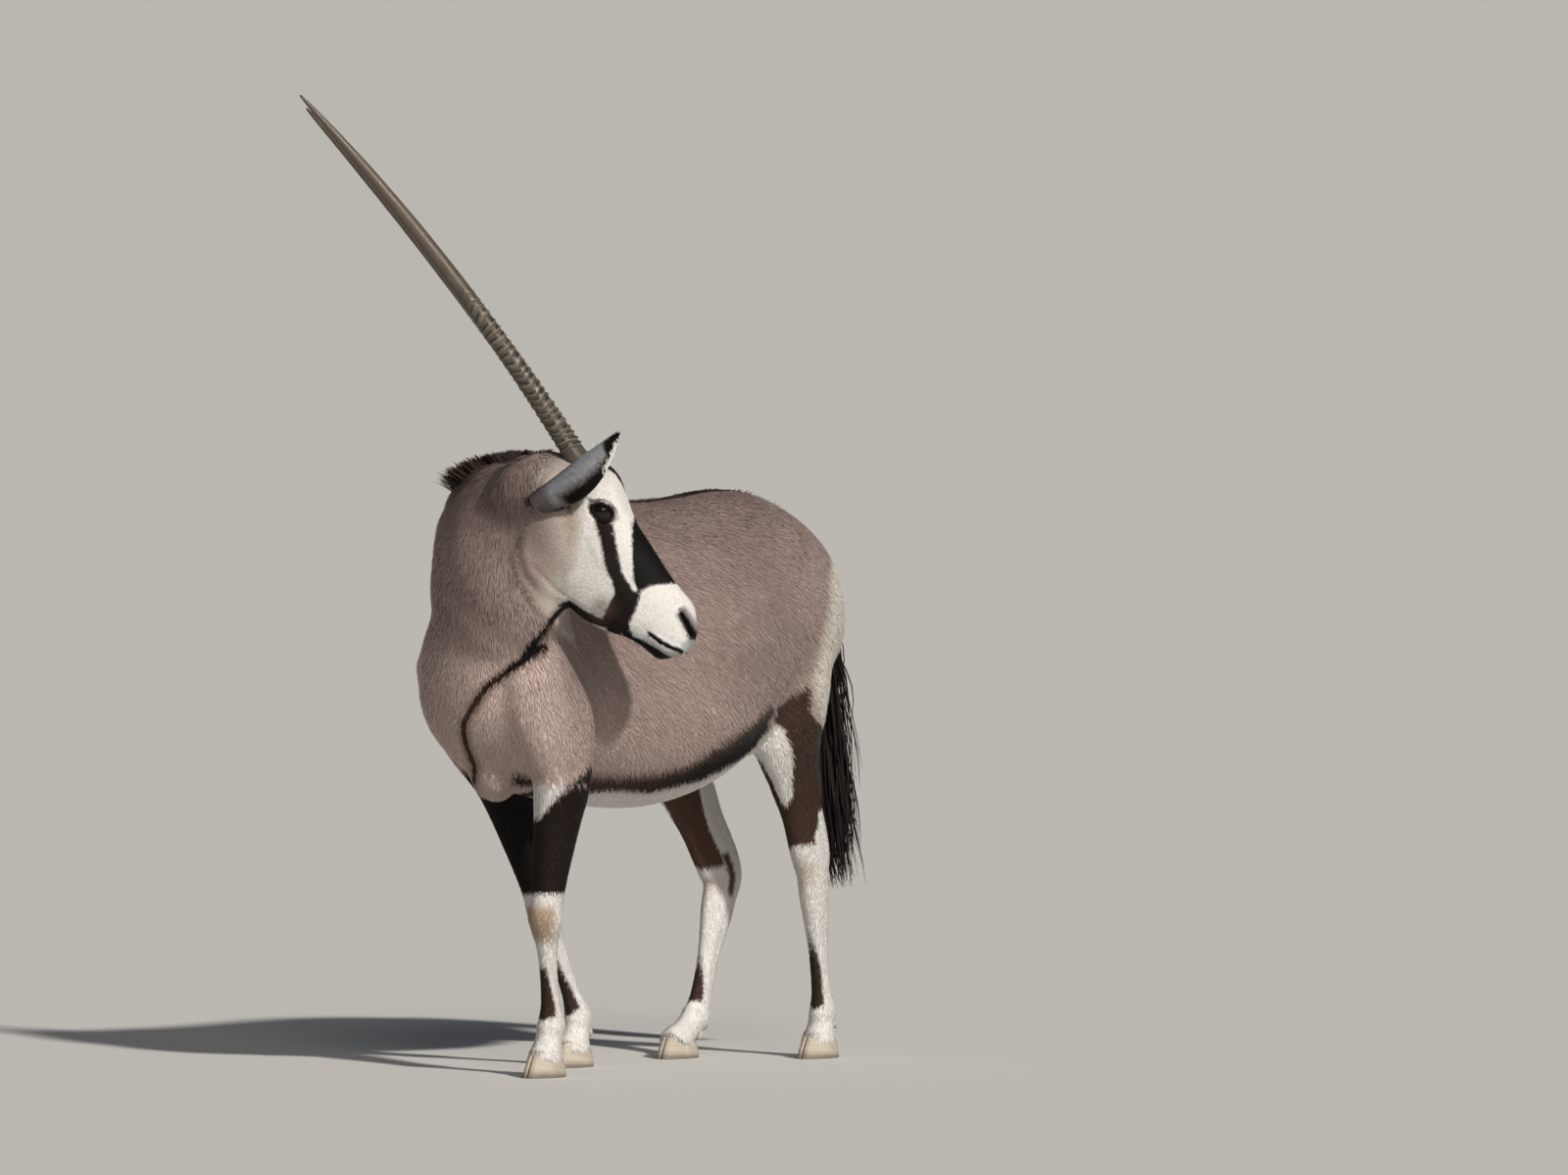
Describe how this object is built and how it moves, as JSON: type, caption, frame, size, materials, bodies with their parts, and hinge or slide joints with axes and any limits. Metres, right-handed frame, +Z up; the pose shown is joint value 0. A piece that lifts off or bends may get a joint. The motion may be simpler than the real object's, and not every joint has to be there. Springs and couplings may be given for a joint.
{
  "type": "gemsbok",
  "caption": "Life-size still model of a standing gemsbok that looks back over its left side, with long ringed horns and black, fawn and white coat.",
  "frame": {"origin": "on the ground, below the middle of the bounding box", "axes": "+X the way the trunk faces, +Y the animal's left, +Z up"},
  "size_m": [1.5154, 0.7864, 1.9337],
  "materials": {
    "hide": "short sleek hair, fawn grey with black and white markings",
    "tail_hair": "long straight black hair",
    "horn": "dark ringed horn, smooth and semi-gloss towards the tip",
    "hoof": "dull grey-brown horn with fine growth lines",
    "eye": "wet dark brown eye"
  },
  "bodies": {
    "root": {"torso": "hide", "neck": "hide", "head": "hide", "leg_front_left": "hide", "leg_front_right": "hide", "leg_hind_left": "hide", "leg_hind_right": "hide", "tail": "tail_hair", "ear_left": "hide", "eye_left": "eye", "horn_left": "horn", "ear_right": "hide", "eye_right": "eye", "horn_right": "horn", "claw_front_left_outer": "hoof", "claw_front_left_inner": "hoof", "claw_front_right_outer": "hoof", "claw_front_right_inner": "hoof", "claw_hind_left_outer": "hoof", "claw_hind_left_inner": "hoof", "claw_hind_right_outer": "hoof", "claw_hind_right_inner": "hoof"}
  },
  "joints": []
}
